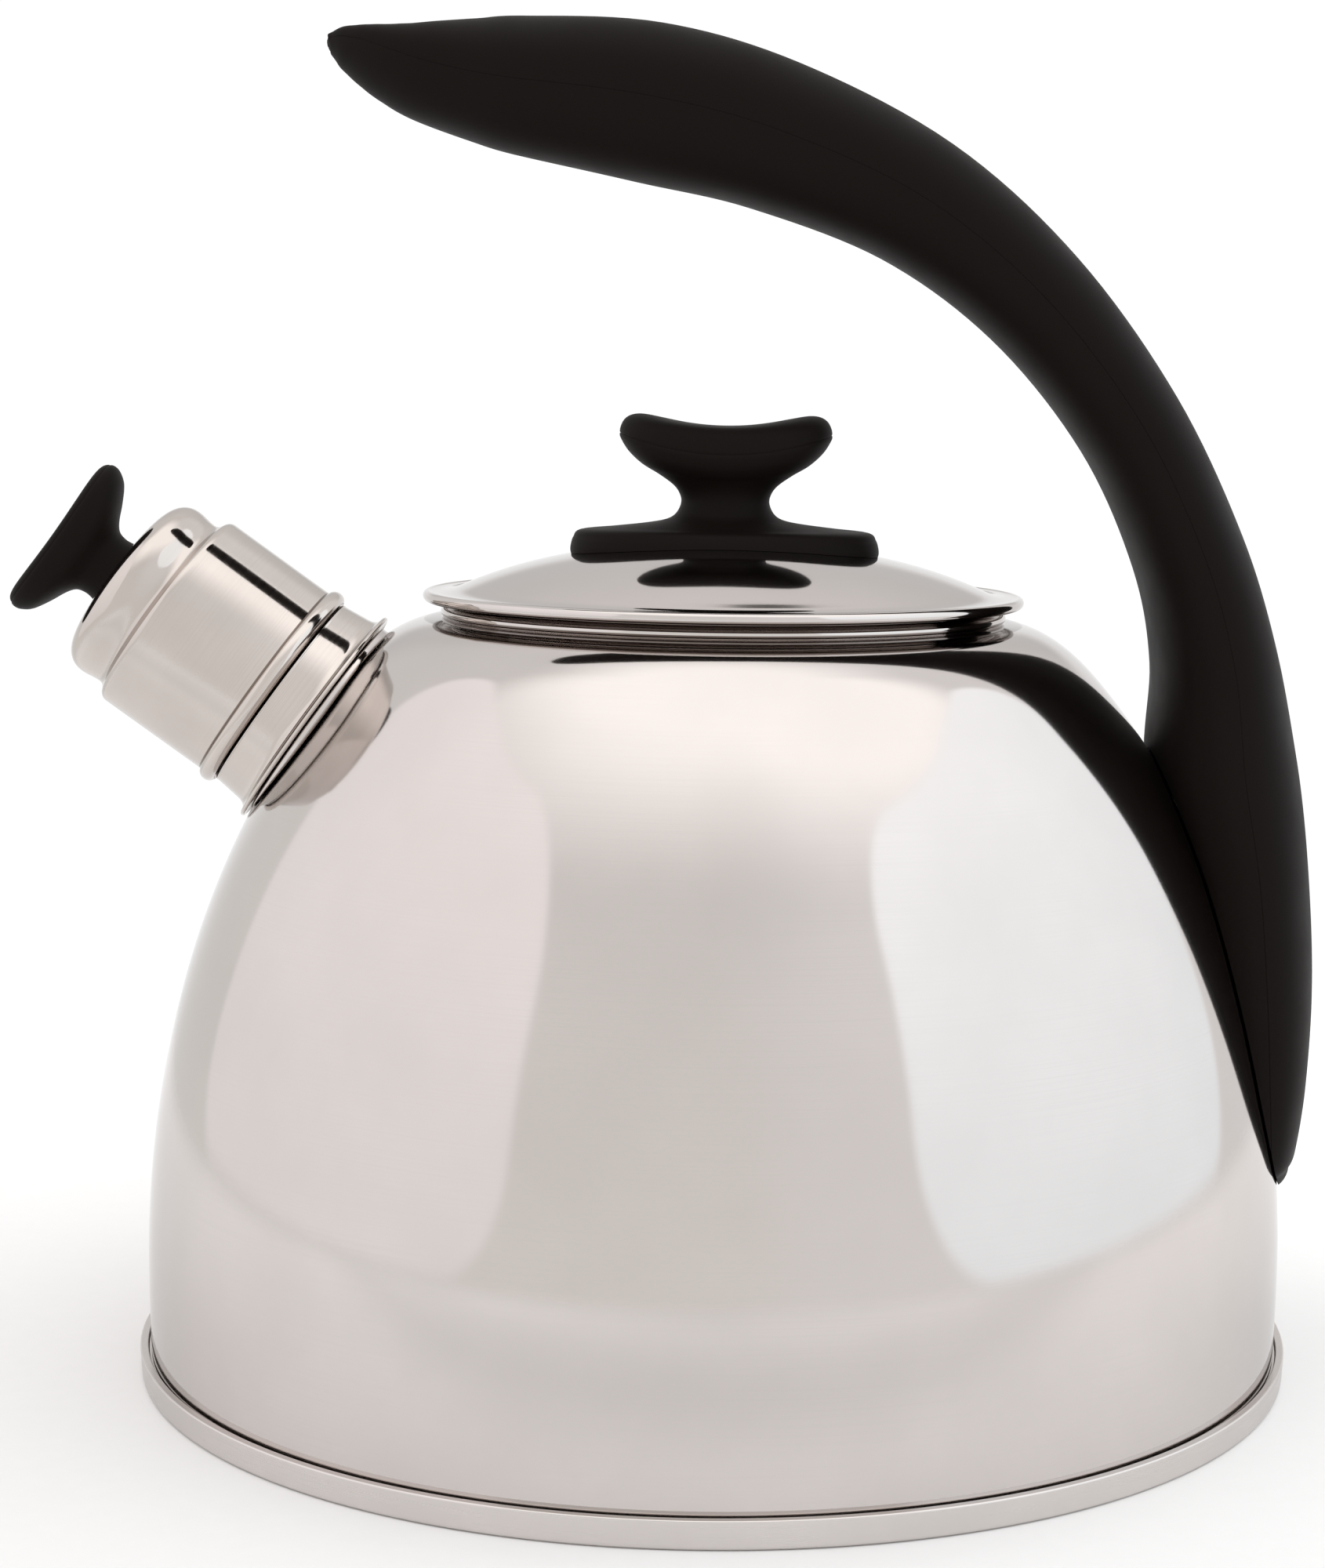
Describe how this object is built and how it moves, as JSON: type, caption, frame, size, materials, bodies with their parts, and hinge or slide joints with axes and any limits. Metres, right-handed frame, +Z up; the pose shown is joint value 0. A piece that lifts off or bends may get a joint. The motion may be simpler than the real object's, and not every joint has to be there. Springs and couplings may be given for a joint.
{
  "type": "stovetop whistling kettle",
  "caption": "Domed polished steel stovetop kettle with an arched black handle over the lid, a lift-off lid and a whistle cap that pulls off the spout.",
  "frame": {"origin": "centre of the flat underside of the base, on the kettle's axis", "axes": "+Z up along the kettle's axis, +X towards the handle's root, -X towards the spout"},
  "size_m": [0.2291, 0.204, 0.2346],
  "materials": {
    "mirror_steel": "mirror-polished stainless steel",
    "satin_steel": "satin stainless steel",
    "screw_steel": "plain machined stainless steel",
    "aluminium": "rolled aluminium plate",
    "brass": "turned or pressed brass",
    "black_plastic": "matte black heat-resistant plastic"
  },
  "bodies": {
    "kettle": {"body_shell": "mirror_steel", "floor_pan": "satin_steel", "heat_spreader_disc": "aluminium", "base_cap": "satin_steel", "spout_tube": "mirror_steel", "handle_bracket": "satin_steel", "handle_grip": "black_plastic", "handle_screw_upper": "screw_steel", "handle_screw_lower": "screw_steel"},
    "lid": {"lid_shell": "mirror_steel", "lid_skirt": "satin_steel", "lid_knob": "black_plastic", "lid_knob_insert": "brass", "lid_knob_screw": "screw_steel", "lid_knob_washer": "screw_steel"},
    "whistle": {"whistle_cap_shell": "mirror_steel", "whistle_sleeve": "mirror_steel", "whistle_retaining_ring": "screw_steel", "whistle_inner_disc": "brass", "whistle_outer_disc": "brass", "whistle_disc_spacer": "brass", "whistle_knob": "black_plastic", "whistle_knob_insert": "brass", "whistle_knob_screw": "screw_steel", "whistle_knob_washer": "screw_steel"}
  },
  "joints": [
    {"name": "lid_lift", "type": "slide", "parent": "kettle", "child": "lid", "axis": [0, 0, 1], "range_m": [0, 0.028]},
    {"name": "whistle_pull", "type": "slide", "parent": "kettle", "child": "whistle", "axis": [-0.8131, 0, 0.5821], "range_m": [0, 0.045]}
  ]
}
